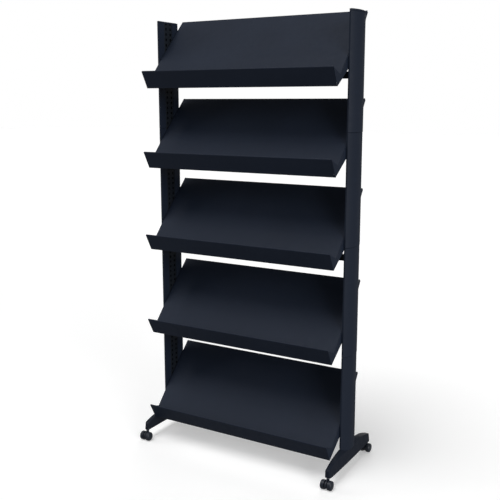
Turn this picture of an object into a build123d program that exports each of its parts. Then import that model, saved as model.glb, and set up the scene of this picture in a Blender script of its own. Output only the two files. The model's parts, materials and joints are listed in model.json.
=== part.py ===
from build123d import *
import os
from math import atan2, cos, radians, sin, tan

# Mobile display rack for magazines and newspapers: two D-section columns on caster feet carry
# five inclined sheet-steel shelves. Millimetres. X runs along the shelves, the front is -Y,
# Z is up and the floor is Z = 0. The pieces are drawn about the columns' middle plane and moved back
# by FRAME_SHIFT_Y at the end, so that the origin is on the floor under the middle of the whole rack.
FRAME_SHIFT_Y = 10.0

# Hole grid of the two perforated rails
HOLE_PITCH = 20.0
HOLE_COLUMN_GAP = 26.6
HOLE_WIDTH = 8.5
HOLE_HEIGHT = 9.5
LOWEST_HOLE_Z = 153.9
HOLE_ROWS = 76

# Shelf heights: the lowest front edge, then the steps up to the next shelves in hole pitches
LOWEST_SHELF_Z = 86.5
SHELF_STEPS = (18, 17, 16, 15)
SHELF_NAMES = ("bottom", "lower", "middle", "upper", "top")

# Columns: flat inner face, short flat front and rear edges, bulging outer face
COLUMN_INNER_X = 394.85
COLUMN_HALF_DEPTH = 62.3
COLUMN_EDGE = 5.4
COLUMN_BULGE = 17.5
COLUMN_FLARE = 1.0
COLUMN_WALL = 3.0
SECTION_HEIGHT = 401.15
SECTION_NAMES = ("foot", "lower", "upper", "top")
COLUMN_BASE_Z = 50.4
COLUMN_TOP_Z = 1655.0
JOINT_CHAMFER = 1.2
SPIGOT_HEIGHT = 12.0
SPIGOT_WALL = 2.4
SPIGOT_OVERLAP = 4.0
WELD_OVERLAP = 0.5
FIT_GAP = 0.3

# Perforated steel rail, set in the inner face of each column
RAIL_CENTRE_Y = 0.0
RAIL_WIDTH = 50.0
RAIL_DEPTH = 9.0
RAIL_SHEET = 1.5
RAIL_RECESS = 0.5
RAIL_BOTTOM_Z = 103.0
RAIL_TOP_Z = 1654.8
GUIDE_RIB = 2.0

# Column top caps
CAP_EDGE_HEIGHT = 5.5
CAP_DOME_HEIGHT = 1.5
CAP_DOME_INSET = 4.0
CAP_PLUG_HEIGHT = 10.0

# Feet
FOOT_INNER_X = 396.2
FOOT_OUTER_X = 420.2
FOOT_TIP_OUTER_X = 417.5
FOOT_DRAFT = 6.5
FOOT_TIP_CORNER = 10.0
FOOT_HALF_LENGTH = 186.0
FOOT_BOTTOM_Z = 42.0
FOOT_CREST_Z = 101.0
FOOT_SHOULDER_Z = 82.5
FOOT_CREST_HALF_LENGTH = 40.0
FOOT_SHOULDER_HALF_LENGTH = 110.0
FOOT_TIP_Z = 72.0
FOOT_TIP_RADIUS = 8.0
FOOT_WALL = 3.0
FOOT_SPIGOT_HEIGHT = 36.0
FOOT_POCKET_TOP_Z = 66.0
FOOT_POCKETS_Y = (-128.0, -84.0, -30.0, 30.0, 84.0, 128.0)
FOOT_POCKET_LENGTH = 38.0
FOOT_POCKET_OUTER_X = 409.0

# Fasteners
SCREW_DIAMETER = 6.0
SCREW_HOLE_GAP = 0.1
SCREW_HOLE = SCREW_DIAMETER + 2 * SCREW_HOLE_GAP
SCREW_HEAD_DIAMETER = 10.5
SCREW_HEAD_HEIGHT = 2.6
SCREW_SOCKET_ACROSS = 3.5
SCREW_SOCKET_DEPTH = 1.5
FOOT_SCREW_LENGTH = 13.0
FOOT_SCREW_Z = (114.0, 132.0)
BAR_SCREW_LENGTH = 12.0
NUT_ACROSS = 10.0
NUT_HEIGHT = 5.0
STUD_DIAMETER = 5.0
STUD_LENGTH = 9.0
STUD_NUT_ACROSS = 8.0
STUD_NUT_HEIGHT = 4.0

# Cross bars between the columns: rectangular tube with welded end plates, each plate centred
# between two rows of rail holes
BAR_ROWS_Z = (803.9, 1443.9)
BAR_RISE = 4.0
BAR_NAMES = ("lower", "upper")
BAR_HEIGHT = 24.0
BAR_DEPTH = 15.0
BAR_WALL = 1.5
BAR_CORNER = 2.0
END_PLATE = 2.5
END_PLATE_WIDTH = 46.0
END_PLATE_HEIGHT = 36.0

# Shelf section, as folded from one sheet: places are (Y, height above the lip's lower edge)
SHEET = 1.2
BEND = 2.0
LIP_TOP_RADIUS = 1.65
SHELF_HALF_LENGTH = 391.2
LIP_ROOT = (-142.5, 0.0)
LIP_LENGTH = 71.4
LIP_LEAN = 28.1
LIP_THICKNESS = 4.6
PANEL_ANGLE = 45.8
PANEL_OFFSET = 14.3
PANEL_TOP_Y = 95.5
CREASE_Y = -60.5
CREASE_FOLD = 2.0
TOP_STRIP = 11.0
TOP_STRIP_FOLD = 5.0
RETURN_FLANGE = 9.0
UNDER_FLANGE = 12.0
UNDER_FLANGE_FOLD = 9.0

# Shelf end brackets
BRACKET_SHEET = 1.5
BRACKET_OUTER_X = 393.0
BRACKET_FLANGE = 16.0
BRACKET_FLANGE_START = 22.0
BRACKET_REAR = (29.0, 78.0)
BRACKET_TAIL = (86.0, 234.0)
BRACKET_KNEE = (-54.0, 61.0)
BRACKET_DROP = 0.8
GUSSET_INNER = (-132.0, 44.0)
GUSSET_WIDTH = 14.0
STUD_PLACES = (60.0, 190.0)
LUG_ROWS = (87.4, 127.4)
LUG_WIDTH = 6.0
LUG_HEIGHT = 5.0
LUG_TIP_DROP = 3.0
LUG_TIP = 2.0
LUG_GAP = 0.2

# Casters
SWIVEL_X = 405.0
SWIVEL_Y = 179.0
CASTER_TRAIL = 10.0
WHEEL_RADIUS = 17.5
WHEEL_OUTER_X = 22.6
WHEEL_INNER_X = 7.0
WHEEL_SHOULDER = 5.5
WHEEL_CROWN = 0.8
WHEEL_RIM = 4.0
WHEEL_DISC_X = 15.3
HUB_RADIUS = 5.5
HUB_INNER_X = 3.6
AXLE_DIAMETER = 5.0
AXLE_HALF_LENGTH = 17.0
AXLE_GAP = 0.06
FORK_HALF_WIDTH = 3.0
FORK_RADIUS = 16.0
FORK_LOW_Z = 8.0
FORK_SHOULDER = 5.0
BARREL_DIAMETER = 11.4
BARREL_TOP_Z = 39.0
STEM_DIAMETER = 7.0
STEM_GAP = 0.08
STEM_BOTTOM_Z = 24.0
STEM_TOP_Z = 62.0
STEM_TIP_CHAMFER = 1.0
STEM_COLLAR_DIAMETER = 12.4
STEM_COLLAR_Z = (39.4, 41.8)
SOCKET_DIAMETER = 11.0
SOCKET_TOP_Z = 63.0
SOCKET_ROOF = 0.5
PRESS_GAP = 0.1

RIGHT, LEFT = 1, -1
SIDES = {"right": RIGHT, "left": LEFT}
ENDS = {"front": -1, "rear": 1}


def on_side(shape, side):
    """A shape drawn for the right-hand side, or its mirror image on the left."""
    return shape if side == RIGHT else mirror(shape, about=Plane.YZ)


def block(x_range, y_range, z_range):
    """Box between two corners."""
    sizes = [high - low for low, high in (x_range, y_range, z_range)]
    centre = [(low + high) / 2 for low, high in (x_range, y_range, z_range)]
    return Pos(*centre) * Box(*sizes)


def rod_x(x_low, x_high, y, z, diameter):
    """Cylinder along X."""
    middle = (x_low + x_high) / 2
    return Pos(middle, y, z) * Rot(0, 90, 0) * Cylinder(diameter / 2, x_high - x_low)


def rod_z(x, y, z_low, z_high, diameter):
    """Cylinder along Z."""
    return Pos(x, y, (z_low + z_high) / 2) * Cylinder(diameter / 2, z_high - z_low)


def profile_along_x(points, x_low, x_high):
    """Straight-sided profile in the YZ plane, extruded along X."""
    outline = make_face(Polyline(*[(0, y, z) for y, z in points], close=True))
    return Pos(x_low, 0, 0) * extrude(outline, amount=x_high - x_low, dir=(1, 0, 0))


# ---------------------------------------------------------------- columns

def d_face(bulge, inset, z):
    """D outline of the right-hand column at height z, moved inward all round by inset."""
    edge_x = COLUMN_INNER_X + COLUMN_EDGE
    front = (edge_x, -COLUMN_HALF_DEPTH)
    rear = (edge_x, COLUMN_HALF_DEPTH)
    crown = (edge_x + bulge, 0)
    straight = Polyline(rear, (COLUMN_INNER_X, rear[1]), (COLUMN_INNER_X, front[1]), front)
    outline = make_face([straight, ThreePointArc(front, crown, rear)])
    if inset:
        outline = offset(outline, amount=-inset, kind=Kind.INTERSECTION)
    return Pos(0, 0, z) * outline


def d_prism(inset, z_low, z_high, low_bulge=COLUMN_BULGE, high_bulge=COLUMN_BULGE):
    """Column outline lofted from one bulge to another."""
    return loft([d_face(low_bulge, inset, z_low), d_face(high_bulge, inset, z_high)], ruled=True)


def rail_space(z_low, z_high, inner_x=COLUMN_INNER_X - 1):
    """Space that the rail needs in the column's inner wall."""
    half = RAIL_WIDTH / 2 + FIT_GAP
    outer_x = COLUMN_INNER_X + RAIL_RECESS + RAIL_DEPTH + FIT_GAP
    return block((inner_x, outer_x), (RAIL_CENTRE_Y - half, RAIL_CENTRE_Y + half), (z_low, z_high))


def rail_guides(z_low, z_high):
    """Two L-shaped ribs that hold the rail's flanges inside the column."""
    near_x = COLUMN_INNER_X + 1
    flange_x = COLUMN_INNER_X + RAIL_RECESS + RAIL_DEPTH + FIT_GAP
    half = RAIL_WIDTH / 2 + FIT_GAP
    guides = []
    for direction in (-1, 1):
        wall = sorted((RAIL_CENTRE_Y + direction * half, RAIL_CENTRE_Y + direction * (half + GUIDE_RIB)))
        lip = sorted((RAIL_CENTRE_Y + direction * (half - GUIDE_RIB), wall[1 if direction > 0 else 0]))
        guides.append(block((near_x, flange_x + GUIDE_RIB), wall, (z_low, z_high)))
        guides.append(block((flange_x, flange_x + GUIDE_RIB), lip, (z_low, z_high)))
    return guides


def shoulder_cutter(clearance):
    """Everything below the sloping top of the foot, raised by a clearance."""
    slope = (FOOT_CREST_Z - FOOT_SHOULDER_Z) / (FOOT_OUTER_X - FOOT_INNER_X)
    reach = COLUMN_BULGE
    inner_x = FOOT_INNER_X - reach
    outer_x = FOOT_OUTER_X + reach
    corners = [
        (inner_x, FOOT_CREST_Z + slope * reach + clearance),
        (outer_x, FOOT_SHOULDER_Z - slope * reach + clearance),
        (outer_x, 0),
        (inner_x, 0),
    ]
    outline = make_face(Polyline(*[(x, 0, z) for x, z in corners], close=True))
    return extrude(outline, amount=2 * COLUMN_HALF_DEPTH, both=True)


def column_section(level):
    """One hollow moulded section, counted from the foot upward."""
    z_low = COLUMN_BASE_Z + level * SECTION_HEIGHT
    is_top = level == len(SECTION_NAMES) - 1
    z_high = COLUMN_TOP_Z if is_top else z_low + SECTION_HEIGHT
    low_bulge = COLUMN_BULGE + COLUMN_FLARE
    high_bulge = COLUMN_BULGE - COLUMN_FLARE
    section_top = z_high - FIT_GAP
    outer = loft([d_face(low_bulge, JOINT_CHAMFER, z_low),
                  d_face(low_bulge, 0, z_low + JOINT_CHAMFER)], ruled=True)
    outer += d_prism(0, z_low + JOINT_CHAMFER, section_top - JOINT_CHAMFER, low_bulge, high_bulge)
    outer += loft([d_face(high_bulge, 0, section_top - JOINT_CHAMFER),
                   d_face(high_bulge, JOINT_CHAMFER, section_top)], ruled=True)
    section = outer - d_prism(COLUMN_WALL, z_low, section_top, low_bulge, high_bulge)
    end_margin = SPIGOT_HEIGHT + SPIGOT_OVERLAP
    for guide in rail_guides(z_low + end_margin, z_high - end_margin):
        section += guide
    if not is_top:
        spigot_inset = COLUMN_WALL + FIT_GAP
        spigot_low = z_high - COLUMN_WALL - SPIGOT_OVERLAP
        spigot_high = z_high + SPIGOT_HEIGHT
        ring = d_prism(COLUMN_WALL - WELD_OVERLAP, spigot_low, section_top, high_bulge, high_bulge)
        ring += d_prism(spigot_inset, section_top, spigot_high, high_bulge, high_bulge)
        ring -= d_prism(spigot_inset + SPIGOT_WALL, spigot_low, spigot_high, high_bulge, high_bulge)
        section += ring
    section -= rail_space(z_low - 1, z_high + SPIGOT_HEIGHT + 1)
    if level == 0:
        section -= shoulder_cutter(FIT_GAP)
        section -= d_prism(COLUMN_WALL, z_low, FOOT_CREST_Z + FOOT_SPIGOT_HEIGHT + 2)
    return section


def perforated_rail():
    """Steel channel with two columns of square holes."""
    web_x = COLUMN_INNER_X + RAIL_RECESS
    centre_z = (RAIL_BOTTOM_Z + RAIL_TOP_Z) / 2
    half = RAIL_WIDTH / 2
    rail = block((web_x, web_x + RAIL_DEPTH), (RAIL_CENTRE_Y - half, RAIL_CENTRE_Y + half),
                 (RAIL_BOTTOM_Z, RAIL_TOP_Z))
    rail = fillet(rail.edges().filter_by(Axis.Z).group_by(Axis.X)[0], BEND)
    rail -= block((web_x + RAIL_SHEET, web_x + RAIL_DEPTH + 1),
                  (RAIL_CENTRE_Y - half + RAIL_SHEET, RAIL_CENTRE_Y + half - RAIL_SHEET),
                  (RAIL_BOTTOM_Z - 1, RAIL_TOP_Z + 1))
    grid_z = LOWEST_HOLE_Z + (HOLE_ROWS - 1) * HOLE_PITCH / 2
    plane = Plane(origin=(web_x - 1, RAIL_CENTRE_Y, grid_z), x_dir=(0, 1, 0), z_dir=(1, 0, 0))
    holes = Sketch() + [place * Rectangle(HOLE_WIDTH, HOLE_HEIGHT)
                        for place in GridLocations(HOLE_COLUMN_GAP, HOLE_PITCH, 2, HOLE_ROWS)]
    rail -= extrude(plane * holes, amount=RAIL_SHEET + 2)
    for z in FOOT_SCREW_Z:
        rail -= rod_x(web_x - 1, web_x + RAIL_SHEET + 1, RAIL_CENTRE_Y, z, SCREW_HOLE)
    return rail


def column_cap():
    """Slightly domed cover with a plug that grips the top section."""
    base_z = COLUMN_TOP_Z
    bulge = COLUMN_BULGE - COLUMN_FLARE
    rim_z = base_z + CAP_EDGE_HEIGHT
    cap = d_prism(0, base_z, rim_z, bulge, bulge)
    cap += loft([d_face(bulge, 0, rim_z), d_face(bulge, CAP_DOME_INSET, rim_z + CAP_DOME_HEIGHT)], ruled=True)
    plug = d_prism(COLUMN_WALL + FIT_GAP, base_z - CAP_PLUG_HEIGHT, base_z, bulge, bulge)
    plug -= d_prism(COLUMN_WALL + FIT_GAP + SPIGOT_WALL, base_z - CAP_PLUG_HEIGHT, base_z, bulge, bulge)
    plug -= rail_space(base_z - CAP_PLUG_HEIGHT - 1, base_z)
    return cap + plug


# ---------------------------------------------------------------- feet

def foot_outline(x, crest_z, crest_half_length):
    """Side outline of the foot in a plane of constant X; the top falls in an arc to each tip."""
    tip = FOOT_HALF_LENGTH
    run = tip - FOOT_TIP_RADIUS - crest_half_length
    drop = crest_z - FOOT_TIP_Z
    middle_fall = drop / 4
    half_way = crest_half_length + run / 2
    corner_y = tip - FOOT_TIP_RADIUS
    turn = radians(45)
    low_z = FOOT_TIP_Z - FOOT_TIP_RADIUS
    lines = []
    for side in (-1, 1):
        corner_mid = (x, side * (corner_y + FOOT_TIP_RADIUS * sin(turn)), low_z + FOOT_TIP_RADIUS * cos(turn))
        crest_end = (x, side * crest_half_length, crest_z)
        corner_top = (x, side * corner_y, FOOT_TIP_Z)
        tip_top = (x, side * tip, low_z)
        lines.append(ThreePointArc(crest_end, (x, side * half_way, crest_z - middle_fall), corner_top))
        lines.append(ThreePointArc(corner_top, corner_mid, tip_top))
        lines.append(Line(tip_top, (x, side * tip, FOOT_BOTTOM_Z)))
    lines.append(Line((x, -crest_half_length, crest_z), (x, crest_half_length, crest_z)))
    lines.append(Line((x, -tip, FOOT_BOTTOM_Z), (x, tip, FOOT_BOTTOM_Z)))
    return make_face(lines)


def foot_plan(z, draft):
    """Foot seen from above at height z: straight inner side, bowed outer side, rounded outer corners."""
    end = FOOT_HALF_LENGTH
    middle_x = FOOT_OUTER_X - draft
    side_x = FOOT_TIP_OUTER_X - draft
    corner_y = end - FOOT_TIP_CORNER
    corner_x = side_x - FOOT_TIP_CORNER
    turn = radians(45)
    lines = [Line((FOOT_INNER_X, -end, z), (FOOT_INNER_X, end, z)),
             ThreePointArc((side_x, -corner_y, z), (middle_x, 0, z), (side_x, corner_y, z))]
    for side in (-1, 1):
        corner_mid = (corner_x + FOOT_TIP_CORNER * cos(turn),
                      side * (corner_y + FOOT_TIP_CORNER * sin(turn)), z)
        lines.append(Line((FOOT_INNER_X, side * end, z), (corner_x, side * end, z)))
        lines.append(ThreePointArc((corner_x, side * end, z), corner_mid, (side_x, side * corner_y, z)))
    return make_face(lines)


def foot():
    """Foot blade: flat inner face, bowed outer face, top sloping outward, ribbed underneath."""
    blade = loft([foot_outline(FOOT_INNER_X, FOOT_CREST_Z, FOOT_CREST_HALF_LENGTH),
                  foot_outline(FOOT_OUTER_X, FOOT_SHOULDER_Z, FOOT_SHOULDER_HALF_LENGTH)], ruled=True)
    blade &= loft([foot_plan(FOOT_BOTTOM_Z, 0), foot_plan(FOOT_CREST_Z, FOOT_DRAFT)], ruled=True)
    bulge = COLUMN_BULGE + COLUMN_FLARE
    blade += d_prism(COLUMN_WALL + FIT_GAP, FOOT_POCKET_TOP_Z + 4, FOOT_CREST_Z + FOOT_SPIGOT_HEIGHT,
                     bulge - FIT_GAP, bulge - FIT_GAP)
    for y in FOOT_POCKETS_Y:
        blade -= block((FOOT_INNER_X + FOOT_WALL, FOOT_POCKET_OUTER_X),
                       (y - FOOT_POCKET_LENGTH / 2, y + FOOT_POCKET_LENGTH / 2),
                       (FOOT_BOTTOM_Z - 1, FOOT_POCKET_TOP_Z))
    blade -= rail_space(FOOT_CREST_Z + 1, FOOT_CREST_Z + FOOT_SPIGOT_HEIGHT + 1)
    web_x = COLUMN_INNER_X + RAIL_RECESS + RAIL_SHEET + FIT_GAP
    pad_half = RAIL_WIDTH / 2 - RAIL_SHEET - FIT_GAP
    pad_outer_x = COLUMN_INNER_X + RAIL_RECESS + RAIL_DEPTH + 2
    blade += block((web_x, pad_outer_x), (RAIL_CENTRE_Y - pad_half, RAIL_CENTRE_Y + pad_half),
                   (FOOT_CREST_Z - 2, FOOT_CREST_Z + FOOT_SPIGOT_HEIGHT))
    for z in FOOT_SCREW_Z:
        blade -= rod_x(web_x - 1, web_x + FOOT_SCREW_LENGTH, RAIL_CENTRE_Y, z,
                       SCREW_HOLE)
    for end in ENDS.values():
        blade -= rod_z(SWIVEL_X, end * SWIVEL_Y, FOOT_BOTTOM_Z - 1, SOCKET_TOP_Z + FIT_GAP,
                       SOCKET_DIAMETER + 2 * PRESS_GAP)
    return blade


# ---------------------------------------------------------------- fasteners

def pan_screw(head_x, y, z, length):
    """Pan-head screw pointing along +X; the head's flat underside is at head_x."""
    head = rod_x(head_x - SCREW_HEAD_HEIGHT, head_x, y, z, SCREW_HEAD_DIAMETER)
    head = fillet(head.edges().filter_by(GeomType.CIRCLE).group_by(Axis.X)[0], SCREW_HEAD_HEIGHT / 2)
    screw = head + rod_x(head_x, head_x + length, y, z, SCREW_DIAMETER)
    socket = extrude(RegularPolygon(SCREW_SOCKET_ACROSS / 2, 6), amount=SCREW_SOCKET_DEPTH + 1)
    return screw - Pos(head_x - SCREW_HEAD_HEIGHT - 1, y, z) * Rot(0, 90, 0) * socket


def hex_nut(across, height, bore):
    """Nut standing on the XY plane."""
    outline = RegularPolygon(across / 2, 6, major_radius=False) - Circle(bore / 2)
    return extrude(outline, amount=height)


def foot_screws():
    """Two screws through each rail into its foot."""
    head_x = COLUMN_INNER_X + RAIL_RECESS
    screws = []
    for side in SIDES.values():
        for z in FOOT_SCREW_Z:
            screws.append(on_side(pan_screw(head_x, RAIL_CENTRE_Y, z, FOOT_SCREW_LENGTH), side))
    return screws


def bar_fixing_places():
    """Diagonal pair of rail holes used at each end of each bar."""
    half_gap = HOLE_COLUMN_GAP / 2
    half_pitch = HOLE_PITCH / 2
    for z in BAR_ROWS_Z:
        yield RAIL_CENTRE_Y - half_gap, z + half_pitch
        yield RAIL_CENTRE_Y + half_gap, z - half_pitch


def bar_screws():
    """Screws that hold the bars' end plates to the rails."""
    head_x = COLUMN_INNER_X + RAIL_RECESS - END_PLATE
    return [on_side(pan_screw(head_x, y, z, BAR_SCREW_LENGTH), side)
            for side in SIDES.values() for y, z in bar_fixing_places()]


def bar_nuts():
    """Nuts behind the rails."""
    nut_x = COLUMN_INNER_X + RAIL_RECESS + RAIL_SHEET
    nut = hex_nut(NUT_ACROSS, NUT_HEIGHT, SCREW_HOLE)
    return [on_side(Pos(nut_x, y, z) * Rot(0, 90, 0) * nut, side)
            for side in SIDES.values() for y, z in bar_fixing_places()]


# ---------------------------------------------------------------- cross bars

def cross_bar(z):
    """Rectangular tube with an end plate welded to each end."""
    plate_outer_x = COLUMN_INNER_X + RAIL_RECESS
    plate_inner_x = plate_outer_x - END_PLATE
    outer = RectangleRounded(BAR_DEPTH, BAR_HEIGHT, BAR_CORNER)
    inner = RectangleRounded(BAR_DEPTH - 2 * BAR_WALL, BAR_HEIGHT - 2 * BAR_WALL, BAR_CORNER - BAR_WALL)
    plane = Plane(origin=(0, RAIL_CENTRE_Y, z + BAR_RISE), x_dir=(0, 1, 0), z_dir=(1, 0, 0))
    bar = extrude(plane * (outer - inner), amount=plate_inner_x, both=True)
    half_width = END_PLATE_WIDTH / 2
    plate = block((plate_inner_x, plate_outer_x), (RAIL_CENTRE_Y - half_width, RAIL_CENTRE_Y + half_width),
                  (z - END_PLATE_HEIGHT / 2, z + END_PLATE_HEIGHT / 2))
    plate = fillet(plate.edges().filter_by(Axis.X), BAR_CORNER)
    for y, hole_z in bar_fixing_places():
        plate -= rod_x(plate_inner_x - 1, plate_outer_x + 1, y, hole_z, SCREW_HOLE)
    for side in SIDES.values():
        bar += on_side(plate, side)
    return bar


# ---------------------------------------------------------------- shelves

def along(start, angle, distance):
    """Point at a distance from start in a direction counted from +Y toward +Z."""
    return (start[0] + distance * cos(radians(angle)), start[1] + distance * sin(radians(angle)))


def crossing(point_a, angle_a, point_b, angle_b):
    """Where two lines in the YZ plane meet."""
    slope_a = tan(radians(angle_a))
    slope_b = tan(radians(angle_b))
    y = (point_b[1] - point_a[1] + slope_a * point_a[0] - slope_b * point_b[0]) / (slope_a - slope_b)
    return (y, point_a[1] + slope_a * (y - point_a[0]))


LIP_ANGLE = 90.0 + LIP_LEAN
HALF_SHEET = SHEET / 2

# Middle line of the sheet: where the panel, its steeper foot and the two lip skins run
PANEL_POINT = along(LIP_ROOT, PANEL_ANGLE + 90, PANEL_OFFSET - HALF_SHEET)
CREASE = (CREASE_Y, PANEL_POINT[1] + (CREASE_Y - PANEL_POINT[0]) * tan(radians(PANEL_ANGLE)))
OUTER_SKIN = along(LIP_ROOT, LIP_ANGLE - 90, HALF_SHEET)
INNER_SKIN = along(LIP_ROOT, LIP_ANGLE - 90, LIP_THICKNESS - HALF_SHEET)
TROUGH = crossing(CREASE, PANEL_ANGLE + CREASE_FOLD, INNER_SKIN, LIP_ANGLE)


def panel_height(y):
    """Height of the panel's middle line above the lip's lower edge."""
    if y < CREASE_Y:
        return CREASE[1] + (y - CREASE_Y) * tan(radians(PANEL_ANGLE + CREASE_FOLD))
    return CREASE[1] + (y - CREASE_Y) * tan(radians(PANEL_ANGLE))


def shelf_middle_line(base_z):
    """Corners of the folded sheet, from the flange behind the top edge round to the under flange."""
    top_edge = (PANEL_TOP_Y, panel_height(PANEL_TOP_Y))
    strip_angle = PANEL_ANGLE - TOP_STRIP_FOLD
    strip_start = along(top_edge, strip_angle + 180, TOP_STRIP)
    strip_start = (strip_start[0], panel_height(strip_start[0]))
    strip_end = along(strip_start, strip_angle, TOP_STRIP)
    return_end = along(strip_end, strip_angle - 90, RETURN_FLANGE)
    skin_length = LIP_LENGTH - HALF_SHEET
    inner_top = along(INNER_SKIN, LIP_ANGLE, skin_length)
    outer_top = along(OUTER_SKIN, LIP_ANGLE, skin_length)
    outer_low = along(OUTER_SKIN, LIP_ANGLE, HALF_SHEET)
    under_end = along(outer_low, PANEL_ANGLE - UNDER_FLANGE_FOLD, UNDER_FLANGE)
    corners = [return_end, strip_end, strip_start, CREASE, TROUGH, inner_top, outer_top, outer_low, under_end]
    return [(0, y, base_z + z) for y, z in corners]


def stud_frame(distance, base_z):
    """Plane on the underside of the panel at a distance up from the trough, facing down."""
    y = TROUGH[0] + distance * cos(radians(PANEL_ANGLE))
    angle = PANEL_ANGLE + (CREASE_FOLD if y < CREASE_Y else 0)
    under_y = y + HALF_SHEET * sin(radians(angle))
    under_z = base_z + panel_height(y) - HALF_SHEET * cos(radians(angle))
    return Plane(origin=(0, under_y, under_z), x_dir=(1, 0, 0),
                 z_dir=(0, sin(radians(angle)), -cos(radians(angle))))


def stud_x():
    """Distance of the studs from the middle of the shelf."""
    return BRACKET_OUTER_X - BRACKET_SHEET - BRACKET_FLANGE / 2


def shelf_sheet(base_z):
    """Panel, trough and double-skinned lip folded from one sheet, with studs welded underneath."""
    corners = shelf_middle_line(base_z)
    fold_radii = [BEND] * 4 + [LIP_TOP_RADIUS] * 2 + [SHEET]
    middle = FilletPolyline(*corners, radius=fold_radii)
    outline = offset(middle, amount=HALF_SHEET, side=Side.BOTH)
    sheet = extrude(make_face(outline.edges()), amount=SHELF_HALF_LENGTH, dir=(1, 0, 0), both=True)
    stud = Cylinder(STUD_DIAMETER / 2, STUD_LENGTH, align=(Align.CENTER, Align.CENTER, Align.MIN))
    for distance in STUD_PLACES:
        for x in (-stud_x(), stud_x()):
            sheet += stud_frame(distance, base_z) * Pos(x, 0, -HALF_SHEET) * stud
    return sheet


def stud_nuts(base_z):
    """Four nuts that hold the two brackets under one shelf."""
    nut = hex_nut(STUD_NUT_ACROSS, STUD_NUT_HEIGHT, STUD_DIAMETER + 2 * SCREW_HOLE_GAP)
    height = BRACKET_SHEET + 2 * FIT_GAP
    return [stud_frame(distance, base_z) * Pos(x, 0, height) * nut
            for distance in STUD_PLACES for x in (-stud_x(), stud_x())]


def bracket_lug(y, z):
    """Hook that passes through a rail hole and drops behind the rail."""
    web_x = COLUMN_INNER_X + RAIL_RECESS
    back_x = web_x + RAIL_SHEET + LUG_GAP
    low_z = z - HOLE_HEIGHT / 2 + LUG_GAP
    span = (y - LUG_WIDTH / 2, y + LUG_WIDTH / 2)
    arm = block((BRACKET_OUTER_X - BRACKET_SHEET, back_x + LUG_TIP), span, (low_z, low_z + LUG_HEIGHT))
    tip = block((back_x, back_x + LUG_TIP), span, (low_z - LUG_TIP_DROP, low_z + LUG_HEIGHT))
    return arm + tip


def end_bracket(base_z):
    """Side plate with a flange under the panel and four lugs for the rail."""
    under = FIT_GAP + HALF_SHEET
    low_angle = radians(PANEL_ANGLE + CREASE_FOLD)

    def below_panel(y, drop):
        return (y, base_z + panel_height(y) - drop)

    lip_top = along(OUTER_SKIN, LIP_ANGLE, LIP_LENGTH - SHEET)
    flange_end = shelf_middle_line(0)[0]
    plate_points = [
        (LIP_ROOT[0] + HALF_SHEET, base_z + HALF_SHEET),
        (BRACKET_KNEE[0], base_z + BRACKET_KNEE[1]),
        (BRACKET_REAR[0], base_z + BRACKET_REAR[1]),
        (BRACKET_TAIL[0], base_z + BRACKET_TAIL[1]),
        (flange_end[1], base_z + flange_end[2]),
        below_panel(PANEL_TOP_Y, BRACKET_DROP),
        below_panel(CREASE_Y, BRACKET_DROP),
        below_panel(GUSSET_INNER[0] + GUSSET_WIDTH, BRACKET_DROP),
        (GUSSET_INNER[0], base_z + GUSSET_INNER[1]),
        (lip_top[0], base_z + lip_top[1]),
    ]
    plate_inner_x = BRACKET_OUTER_X - BRACKET_SHEET
    bracket = profile_along_x(plate_points, plate_inner_x, BRACKET_OUTER_X)
    flange_drop = under + BRACKET_SHEET / cos(low_angle)
    flange_start = TROUGH[0] + BRACKET_FLANGE_START
    flange_points = [
        below_panel(flange_start, under / cos(low_angle)),
        below_panel(CREASE_Y, under / cos(low_angle)),
        below_panel(BRACKET_REAR[0], under / cos(low_angle)),
        below_panel(BRACKET_REAR[0], flange_drop + FIT_GAP),
        below_panel(CREASE_Y, flange_drop + FIT_GAP),
        below_panel(flange_start, flange_drop + FIT_GAP),
    ]
    bracket += profile_along_x(flange_points, plate_inner_x - BRACKET_FLANGE, plate_inner_x + WELD_OVERLAP)
    bore = Cylinder(STUD_DIAMETER / 2 + FIT_GAP, 4 * BRACKET_SHEET)
    for distance in STUD_PLACES:
        bracket -= stud_frame(distance, base_z) * Pos(stud_x(), 0, BRACKET_SHEET) * bore
    for column in (-1, 1):
        for row in LUG_ROWS:
            bracket += bracket_lug(RAIL_CENTRE_Y + column * HOLE_COLUMN_GAP / 2, base_z + row)
    return bracket


# ---------------------------------------------------------------- casters

def caster_wheel(side):
    """Domed wheel, hollow toward the fork; drawn about the X axis at the origin."""
    face_x = WHEEL_OUTER_X - WHEEL_CROWN
    shoulder_x = face_x - WHEEL_SHOULDER
    bore = AXLE_DIAMETER / 2 + AXLE_GAP
    turn = radians(45)
    shoulder_mid = (shoulder_x + WHEEL_SHOULDER * sin(turn), WHEEL_RADIUS - WHEEL_SHOULDER * (1 - cos(turn)))
    shoulder_end = (face_x, WHEEL_RADIUS - WHEEL_SHOULDER)
    rim_inner = WHEEL_RADIUS - WHEEL_RIM
    blind_x = AXLE_HALF_LENGTH + 1
    crown_radius = (shoulder_end[1] ** 2 + WHEEL_CROWN ** 2) / (2 * WHEEL_CROWN)
    crown_turn = atan2(shoulder_end[1], crown_radius - WHEEL_CROWN) / 2
    crown_centre = WHEEL_OUTER_X - crown_radius
    crown_mid = (crown_centre + crown_radius * cos(crown_turn), crown_radius * sin(crown_turn))
    lines = [
        ThreePointArc((shoulder_x, WHEEL_RADIUS), shoulder_mid, shoulder_end),
        ThreePointArc(shoulder_end, crown_mid, (WHEEL_OUTER_X, 0)),
        Polyline((WHEEL_OUTER_X, 0), (blind_x, 0), (blind_x, bore), (HUB_INNER_X, bore),
                 (HUB_INNER_X, HUB_RADIUS), (WHEEL_DISC_X, HUB_RADIUS), (WHEEL_DISC_X, rim_inner),
                 (WHEEL_INNER_X, rim_inner), (WHEEL_INNER_X, WHEEL_RADIUS), (shoulder_x, WHEEL_RADIUS)),
    ]
    wheel = revolve(make_face(lines), axis=Axis.X)
    return wheel if side == RIGHT else mirror(wheel, about=Plane.YZ)


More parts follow.
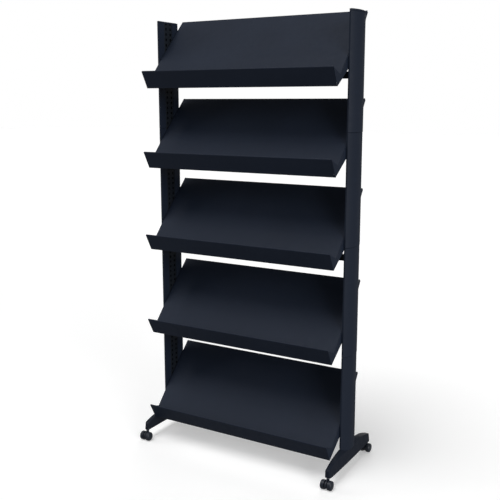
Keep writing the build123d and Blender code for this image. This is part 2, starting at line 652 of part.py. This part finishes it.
def caster_fork():
    """Swivelling body: barrel round the stem and a fin between the wheels."""
    axle_y = -CASTER_TRAIL
    fin = rod_x(-FORK_HALF_WIDTH, FORK_HALF_WIDTH, axle_y, WHEEL_RADIUS, 2 * FORK_RADIUS)
    fin -= block((-2 * FORK_RADIUS, 2 * FORK_RADIUS), (axle_y - 2 * FORK_RADIUS, axle_y + 2 * FORK_RADIUS),
                 (-FORK_RADIUS, FORK_LOW_Z))
    barrel = rod_z(0, 0, STEM_BOTTOM_Z - FORK_SHOULDER, BARREL_TOP_Z, BARREL_DIAMETER)
    bridge = block((-FORK_HALF_WIDTH, FORK_HALF_WIDTH), (axle_y, 0),
                   (FORK_LOW_Z, BARREL_TOP_Z - FORK_SHOULDER))
    fork = fin + barrel + bridge
    fork -= rod_z(0, 0, STEM_BOTTOM_Z - 1, BARREL_TOP_Z + 1, STEM_DIAMETER + 2 * STEM_GAP)
    return fork - rod_x(-10, 10, axle_y, WHEEL_RADIUS, AXLE_DIAMETER)


def caster_stem():
    """Steel stem with a collar under the foot."""
    stem = rod_z(0, 0, STEM_BOTTOM_Z, STEM_TOP_Z, STEM_DIAMETER)
    stem += rod_z(0, 0, *STEM_COLLAR_Z, STEM_COLLAR_DIAMETER)
    return chamfer(stem.edges().filter_by(GeomType.CIRCLE).group_by(Axis.Z)[-1], STEM_TIP_CHAMFER)


def caster_socket():
    """Sleeve pressed into the foot; the stem's grip ring bears on it."""
    return (rod_z(0, 0, FOOT_BOTTOM_Z, SOCKET_TOP_Z, SOCKET_DIAMETER)
            - rod_z(0, 0, FOOT_BOTTOM_Z - 1, SOCKET_TOP_Z - SOCKET_ROOF, STEM_DIAMETER + 2 * STEM_GAP))


# ---------------------------------------------------------------- assembly

def shelf_heights():
    """Height of each shelf's lower front edge, from the bottom shelf up."""
    heights = [LOWEST_SHELF_Z]
    for step in SHELF_STEPS:
        heights.append(heights[-1] + step * HOLE_PITCH)
    return heights


def frame_nodes():
    """Feet, columns, rails, bars and their fasteners."""
    nodes = {}
    for side_name, side in SIDES.items():
        nodes[f"{side_name}_foot"] = on_side(foot(), side)
        nodes[f"{side_name}_rail"] = on_side(perforated_rail(), side)
        nodes[f"{side_name}_column_cap"] = on_side(column_cap(), side)
        for level, level_name in enumerate(SECTION_NAMES):
            nodes[f"{side_name}_column_{level_name}_section"] = on_side(column_section(level), side)
    for bar_name, z in zip(BAR_NAMES, BAR_ROWS_Z):
        nodes[f"{bar_name}_cross_bar"] = cross_bar(z)
    nodes["foot_screws"] = foot_screws()
    nodes["cross_bar_screws"] = bar_screws()
    nodes["cross_bar_nuts"] = bar_nuts()
    return nodes


def shelf_nodes():
    """Five shelves with their end brackets and nuts."""
    nodes = {}
    nuts = []
    for name, base_z in zip(SHELF_NAMES, shelf_heights()):
        nodes[f"{name}_shelf"] = shelf_sheet(base_z)
        bracket = end_bracket(base_z)
        for side_name, side in SIDES.items():
            nodes[f"{name}_shelf_{side_name}_bracket"] = on_side(bracket, side)
        nuts.extend(stud_nuts(base_z))
    nodes["shelf_bracket_nuts"] = nuts
    return nodes


def caster_nodes():
    """Four twin-wheel swivel casters, all trailing toward the front."""
    nodes = {}
    sockets = []
    for end_name, end in ENDS.items():
        for side_name, side in SIDES.items():
            corner = f"{end_name}_{side_name}_caster"
            place = Pos(side * SWIVEL_X, end * SWIVEL_Y, 0)
            axle_place = place * Pos(0, -CASTER_TRAIL, WHEEL_RADIUS)
            axle = rod_x(-AXLE_HALF_LENGTH, AXLE_HALF_LENGTH, 0, 0, AXLE_DIAMETER)
            nodes[f"{corner}_stem"] = place * caster_stem()
            nodes[f"{corner}_body"] = place * caster_fork()
            nodes[f"{corner}_axle"] = axle_place * axle
            nodes[f"{corner}_inner_wheel"] = axle_place * caster_wheel(-side)
            nodes[f"{corner}_outer_wheel"] = axle_place * caster_wheel(side)
            sockets.append(place * caster_socket())
    nodes["caster_sockets"] = sockets
    return nodes


os.makedirs("parts", exist_ok=True)
frame_place = Pos(0, FRAME_SHIFT_Y, 0)
for node, shape in {**frame_nodes(), **shelf_nodes(), **caster_nodes()}.items():
    pieces = shape if isinstance(shape, list) else [shape]
    placed = [frame_place * piece for piece in pieces]
    export_step(Compound(children=placed) if len(placed) > 1 else placed[0], f"parts/{node}.step")
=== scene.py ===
import json
from math import cos, radians, sin

import bpy
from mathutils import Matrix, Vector

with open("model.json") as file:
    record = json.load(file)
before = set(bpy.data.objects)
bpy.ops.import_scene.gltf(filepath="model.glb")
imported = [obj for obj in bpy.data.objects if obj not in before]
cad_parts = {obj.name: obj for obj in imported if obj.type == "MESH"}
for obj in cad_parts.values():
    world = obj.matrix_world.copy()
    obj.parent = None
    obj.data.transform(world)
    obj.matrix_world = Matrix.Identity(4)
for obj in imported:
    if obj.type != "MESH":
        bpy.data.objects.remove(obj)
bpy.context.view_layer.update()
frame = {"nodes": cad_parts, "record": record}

# Finishes, as linear colours
SHELF_COLOUR = (0.0125, 0.0185, 0.0335)
COLUMN_COLOUR = (0.0120, 0.0175, 0.0310)
FOOT_COLOUR = (0.0085, 0.0120, 0.0210)
RAIL_COLOUR = (0.0105, 0.0135, 0.0190)
BAR_COLOUR = (0.0105, 0.0145, 0.0220)
CASTER_COLOUR = (0.0130, 0.0170, 0.0260)
SCREW_COLOUR = (0.020, 0.020, 0.022)
ZINC_COLOUR = (0.55, 0.56, 0.58)
FLOOR_COLOUR = (0.90, 0.90, 0.90)
FLOOR_GLOW = 0.30
FLOOR_HALF_SIDE = 30.0

# Surface of the coating
COAT_ROUGHNESS = 0.5
COAT_SPECULAR = 0.16
DUST = 0.006
SCUFF = 0.4

# Patterns, in repeats per metre, and how far some of them are stretched along X, Y and Z
CLOUD_SCALE = 5.0
BLOTCH_SCALE = 42.0
SPECK_SCALE = 1400.0
RUB_SCALE = 26.0
WAVE_SCALE = 320.0
PLATING_PATCH_SCALE = 160.0
TURNING_MARK_SCALE = 900.0
UPRIGHT_STRETCH = (1, 1, 0.12)
RUB_STRETCH = (1.0, 0.35, 2.2)

# Camera
CAMERA_PLACE = (1.4577, -2.4944, 1.3549)
CAMERA_YAW = 30.62
CAMERA_PITCH = -10.87
CAMERA_LENS = 55.30
SENSOR = 36.0

# Distant lights: name, azimuth from the front toward the right, elevation, strength, softness in degrees
LIGHTS = (
    ("overhead", -20, 67, 1.4, 34),
    ("side", 88, 5, 0.65, 14),
    ("front_right", 60, 15, 1.2, 30),
    ("front_left", -75, 12, 1.0, 30),
    ("behind", 200, 25, 0.6, 40),
)
AMBIENT = 0.20
BACKGROUND = 1.0


# ---------------------------------------------------------------- materials

class Nodes:
    """Builds one material's node tree."""

    def __init__(self, name):
        self.material = bpy.data.materials.new(name)
        self.material.use_nodes = True
        self.tree = self.material.node_tree
        self.tree.nodes.clear()
        output = self.tree.nodes.new("ShaderNodeOutputMaterial")
        self.shader = self.tree.nodes.new("ShaderNodeBsdfPrincipled")
        self.link(self.shader.outputs["BSDF"], output.inputs["Surface"])
        self.place = self.tree.nodes.new("ShaderNodeTexCoord").outputs["Object"]

    def link(self, source, target):
        self.tree.links.new(source, target)

    def noise(self, scale, detail=2.0, roughness=0.5, stretch=None):
        """Noise in metres; stretch scales the three axes of the pattern."""
        node = self.tree.nodes.new("ShaderNodeTexNoise")
        node.inputs["Scale"].default_value = scale
        node.inputs["Detail"].default_value = detail
        node.inputs["Roughness"].default_value = roughness
        place = self.place
        if stretch:
            mapping = self.tree.nodes.new("ShaderNodeMapping")
            mapping.inputs["Scale"].default_value = stretch
            self.link(place, mapping.inputs["Vector"])
            place = mapping.outputs["Vector"]
        self.link(place, node.inputs["Vector"])
        return node.outputs["Fac"]

    def map_range(self, value, low, high, to_low, to_high):
        node = self.tree.nodes.new("ShaderNodeMapRange")
        node.inputs["From Min"].default_value = low
        node.inputs["From Max"].default_value = high
        node.inputs["To Min"].default_value = to_low
        node.inputs["To Max"].default_value = to_high
        self.link(value, node.inputs["Value"])
        return node.outputs["Result"]

    def facing_up(self):
        """Height of the surface normal: 1 on top faces, 0 on upright ones."""
        split = self.tree.nodes.new("ShaderNodeSeparateXYZ")
        self.link(self.tree.nodes.new("ShaderNodeNewGeometry").outputs["Normal"], split.inputs["Vector"])
        return split.outputs["Z"]

    def product(self, first, second):
        node = self.tree.nodes.new("ShaderNodeMath")
        node.operation = "MULTIPLY"
        self.link(first, node.inputs[0])
        self.link(second, node.inputs[1])
        return node.outputs["Value"]

    def mix_colour(self, factor, first, second):
        node = self.tree.nodes.new("ShaderNodeMix")
        node.data_type = "RGBA"
        self.link(factor, node.inputs["Factor"])
        for value, socket in ((first, node.inputs["A"]), (second, node.inputs["B"])):
            if isinstance(value, tuple):
                socket.default_value = (*value, 1)
            else:
                self.link(value, socket)
        return node.outputs["Result"]

    def bump(self, height, strength, distance, normal=None):
        node = self.tree.nodes.new("ShaderNodeBump")
        node.inputs["Strength"].default_value = strength
        node.inputs["Distance"].default_value = distance
        self.link(height, node.inputs["Height"])
        if normal:
            self.link(normal, node.inputs["Normal"])
        return node.outputs["Normal"]


def shade(colour, factor):
    """A colour made lighter or darker."""
    return tuple(channel * factor for channel in colour)


def coated(name, colour, roughness=COAT_ROUGHNESS, grain=1.0, specular=COAT_SPECULAR, stretch=None):
    """Powder coat or moulded plastic: fine grain, cloudy tone, dust on top faces and rubbed patches."""
    nodes = Nodes(name)
    cloud = nodes.noise(CLOUD_SCALE, 3.0, 0.55, stretch)
    blotch = nodes.noise(BLOTCH_SCALE, 4.0, 0.6)
    speck = nodes.noise(SPECK_SCALE, 1.0)
    rub = nodes.noise(RUB_SCALE, 5.0, 0.75, RUB_STRETCH)
    base = nodes.mix_colour(nodes.map_range(cloud, 0.3, 0.7, 0, 1), shade(colour, 0.9), shade(colour, 1.1))
    grained = nodes.mix_colour(nodes.map_range(speck, 0.35, 0.75, 0, 0.35), base, shade(colour, 1.35))
    rubbed = nodes.mix_colour(nodes.map_range(rub, 0.58, 0.74, 0, SCUFF), grained, shade(colour, 1.5))
    dust = nodes.product(nodes.map_range(nodes.facing_up(), 0.2, 1.0, 0, 0.35),
                         nodes.map_range(blotch, 0.35, 0.7, 0.3, 1.0))
    dusted = nodes.mix_colour(dust, rubbed, tuple(channel + DUST for channel in colour))
    nodes.link(dusted, nodes.shader.inputs["Base Color"])
    nodes.link(nodes.map_range(blotch, 0.3, 0.7, roughness - 0.06, roughness + 0.08),
               nodes.shader.inputs["Roughness"])
    nodes.shader.inputs["Specular IOR Level"].default_value = specular
    wave = nodes.bump(nodes.noise(WAVE_SCALE, 2.0), 0.10 * grain, 0.0006)
    nodes.link(nodes.bump(speck, 0.12 * grain, 0.0003, wave), nodes.shader.inputs["Normal"])
    return nodes.material


def plated(name, colour):
    """Bright zinc with fine turning marks and dull patches."""
    nodes = Nodes(name)
    patch = nodes.noise(PLATING_PATCH_SCALE, 3.0)
    base = nodes.mix_colour(nodes.map_range(patch, 0.3, 0.7, 0, 1), shade(colour, 0.8), colour)
    nodes.link(base, nodes.shader.inputs["Base Color"])
    nodes.shader.inputs["Metallic"].default_value = 1.0
    nodes.link(nodes.map_range(patch, 0.3, 0.7, 0.28, 0.45), nodes.shader.inputs["Roughness"])
    nodes.link(nodes.bump(nodes.noise(TURNING_MARK_SCALE, 2.0), 0.1, 0.0002), nodes.shader.inputs["Normal"])
    return nodes.material


def make_materials():
    """One finish for each material slot of the record."""
    return {
        "column_plastic": coated("column_plastic", COLUMN_COLOUR, stretch=UPRIGHT_STRETCH),
        "cap_plastic": coated("cap_plastic", COLUMN_COLOUR),
        "foot_paint": coated("foot_paint", FOOT_COLOUR),
        "rail_paint": coated("rail_paint", RAIL_COLOUR, grain=0.8),
        "shelf_paint": coated("shelf_paint", SHELF_COLOUR, roughness=0.52),
        "bracket_paint": coated("bracket_paint", SHELF_COLOUR),
        "bar_paint": coated("bar_paint", BAR_COLOUR, grain=0.8),
        "screw_black": coated("screw_black", SCREW_COLOUR, roughness=0.35, grain=0.5, specular=0.4),
        "zinc_steel": plated("zinc_steel", ZINC_COLOUR),
        "caster_wheel": coated("caster_wheel", CASTER_COLOUR, roughness=0.36, grain=0.6, specular=0.4),
        "caster_body": coated("caster_body", CASTER_COLOUR, roughness=0.42, grain=0.8, specular=0.35),
    }


def paint_nodes(materials):
    """Gives every CAD node the finish of its slot."""
    for row in frame["record"]["subparts"]:
        node = frame["nodes"][row["node"]]
        node.data.materials.clear()
        node.data.materials.append(materials[row["material_slot"]])


# ---------------------------------------------------------------- studio

def make_camera():
    """Camera at the viewing angle and distance of a person in front and to the right."""
    data = bpy.data.cameras.new("camera")
    data.lens = CAMERA_LENS
    data.sensor_width = SENSOR
    camera = bpy.data.objects.new("camera", data)
    camera.location = CAMERA_PLACE
    camera.rotation_euler = (radians(90 + CAMERA_PITCH), 0, radians(CAMERA_YAW))
    bpy.context.scene.collection.objects.link(camera)
    bpy.context.scene.camera = camera


def make_sun(name, azimuth, elevation, strength, softness):
    """Soft distant light; azimuth counts from the front toward the right."""
    data = bpy.data.lights.new(name, "SUN")
    data.energy = strength
    data.angle = radians(softness)
    light = bpy.data.objects.new(name, data)
    toward = Vector((cos(radians(elevation)) * sin(radians(azimuth)),
                     -cos(radians(elevation)) * cos(radians(azimuth)),
                     sin(radians(elevation))))
    light.rotation_euler = toward.to_track_quat("Z", "Y").to_euler()
    bpy.context.scene.collection.objects.link(light)


def make_world(background, ambient):
    """Pale surroundings: bright where the camera sees them, weaker as a light."""
    world = bpy.data.worlds.new("studio")
    world.use_nodes = True
    tree = world.node_tree
    tree.nodes.clear()
    output = tree.nodes.new("ShaderNodeOutputWorld")
    seen = tree.nodes.new("ShaderNodeBackground")
    felt = tree.nodes.new("ShaderNodeBackground")
    mix = tree.nodes.new("ShaderNodeMixShader")
    path = tree.nodes.new("ShaderNodeLightPath")
    seen.inputs["Strength"].default_value = background
    felt.inputs["Strength"].default_value = ambient
    seen.inputs["Color"].default_value = (1, 1, 1, 1)
    felt.inputs["Color"].default_value = (1, 1, 1, 1)
    tree.links.new(path.outputs["Is Camera Ray"], mix.inputs["Fac"])
    tree.links.new(felt.outputs["Background"], mix.inputs[1])
    tree.links.new(seen.outputs["Background"], mix.inputs[2])
    tree.links.new(mix.outputs["Shader"], output.inputs["Surface"])
    bpy.context.scene.world = world


def make_floor():
    """Plain pale floor."""
    half = FLOOR_HALF_SIDE
    corners = [(-half, -half, 0), (half, -half, 0), (half, half, 0), (-half, half, 0)]
    mesh = bpy.data.meshes.new("floor")
    mesh.from_pydata(corners, [], [(0, 1, 2, 3)])
    floor = bpy.data.objects.new("floor", mesh)
    nodes = Nodes("floor")
    cloud = nodes.map_range(nodes.noise(0.8), 0.3, 0.7, 0, 1)
    tone = nodes.mix_colour(cloud, shade(FLOOR_COLOUR, 0.985), FLOOR_COLOUR)
    nodes.link(tone, nodes.shader.inputs["Base Color"])
    nodes.link(tone, nodes.shader.inputs["Emission Color"])
    nodes.shader.inputs["Emission Strength"].default_value = FLOOR_GLOW
    nodes.shader.inputs["Roughness"].default_value = 0.8
    nodes.shader.inputs["Specular IOR Level"].default_value = 0.1
    mesh.materials.append(nodes.material)
    bpy.context.scene.collection.objects.link(floor)
    floor.visible_diffuse = False
    floor.visible_glossy = False


bpy.context.scene.view_settings.view_transform = "Standard"
make_camera()
make_floor()
for light in LIGHTS:
    make_sun(*light)
make_world(BACKGROUND, AMBIENT)
paint_nodes(make_materials())
